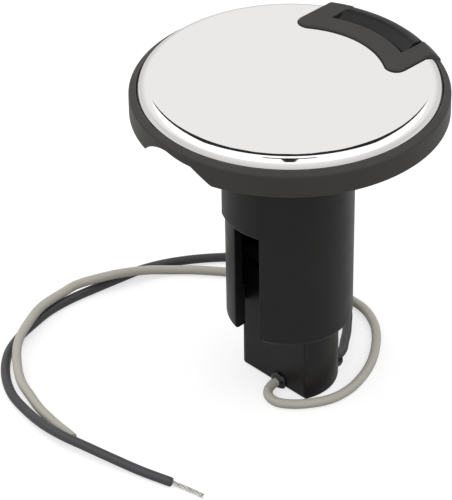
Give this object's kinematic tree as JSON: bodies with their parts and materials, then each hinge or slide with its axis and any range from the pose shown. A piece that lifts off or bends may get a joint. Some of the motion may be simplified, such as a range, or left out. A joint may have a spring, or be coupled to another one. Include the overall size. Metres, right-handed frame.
{
  "type": "deck socket base for a plug-in pole light",
  "caption": "Round flush deck socket with a hinged, steel-faced lid over a deep barrel with contacts, a stepped housing under it and loose bare-ended leads.",
  "frame": {"origin": "centre of the deck seat: on the barrel's axis, at the underside of the gasket", "axes": "+Z along the barrel's axis, out of the deck; the hinge is at +Y, the finger notch at -Y, the hinge pin lies along X"},
  "size_m": [0.1109, 0.108, 0.0963],
  "materials": {
    "lid_plastic": "satin moulded dark grey plastic, lightly worn edges",
    "base_plastic": "smooth satin black moulded plastic",
    "polished_steel": "bright polished stainless steel with a rolled edge",
    "seal_rubber": "soft matt black rubber",
    "gasket_foam": "thin closed-cell foam sheet",
    "contact_brass": "bright turned brass",
    "tinned_copper": "bright tinned copper",
    "sealant": "cured glossy black sealant",
    "grey_insulation": "smooth satin grey wire insulation",
    "black_insulation": "smooth satin black wire insulation"
  },
  "bodies": {
    "base": {"socket_base": "base_plastic", "deck_gasket": "gasket_foam", "hinge_pin": "polished_steel", "contact_carrier": "base_plastic", "contact_housing": "base_plastic", "contact_sleeve_grey": "contact_brass", "contact_sleeve_black": "contact_brass", "crimp_grey": "tinned_copper", "crimp_black": "tinned_copper", "carrier_screw_rear": "polished_steel", "carrier_screw_front": "polished_steel", "sealant_bead_grey": "sealant", "sealant_bead_black": "sealant", "grey_lead": "grey_insulation", "black_lead": "black_insulation", "grey_lead_strands": "tinned_copper", "black_lead_strands": "tinned_copper"},
    "lid": {"lid_shell": "lid_plastic", "lid_face_plate": "polished_steel", "lid_seal": "seal_rubber"}
  },
  "joints": [
    {"name": "lid_hinge", "type": "hinge", "parent": "base", "child": "lid", "pos_m": [0, 0.0352, 0.007], "axis": [-1, 0, 0], "range_deg": [0, 105]}
  ]
}
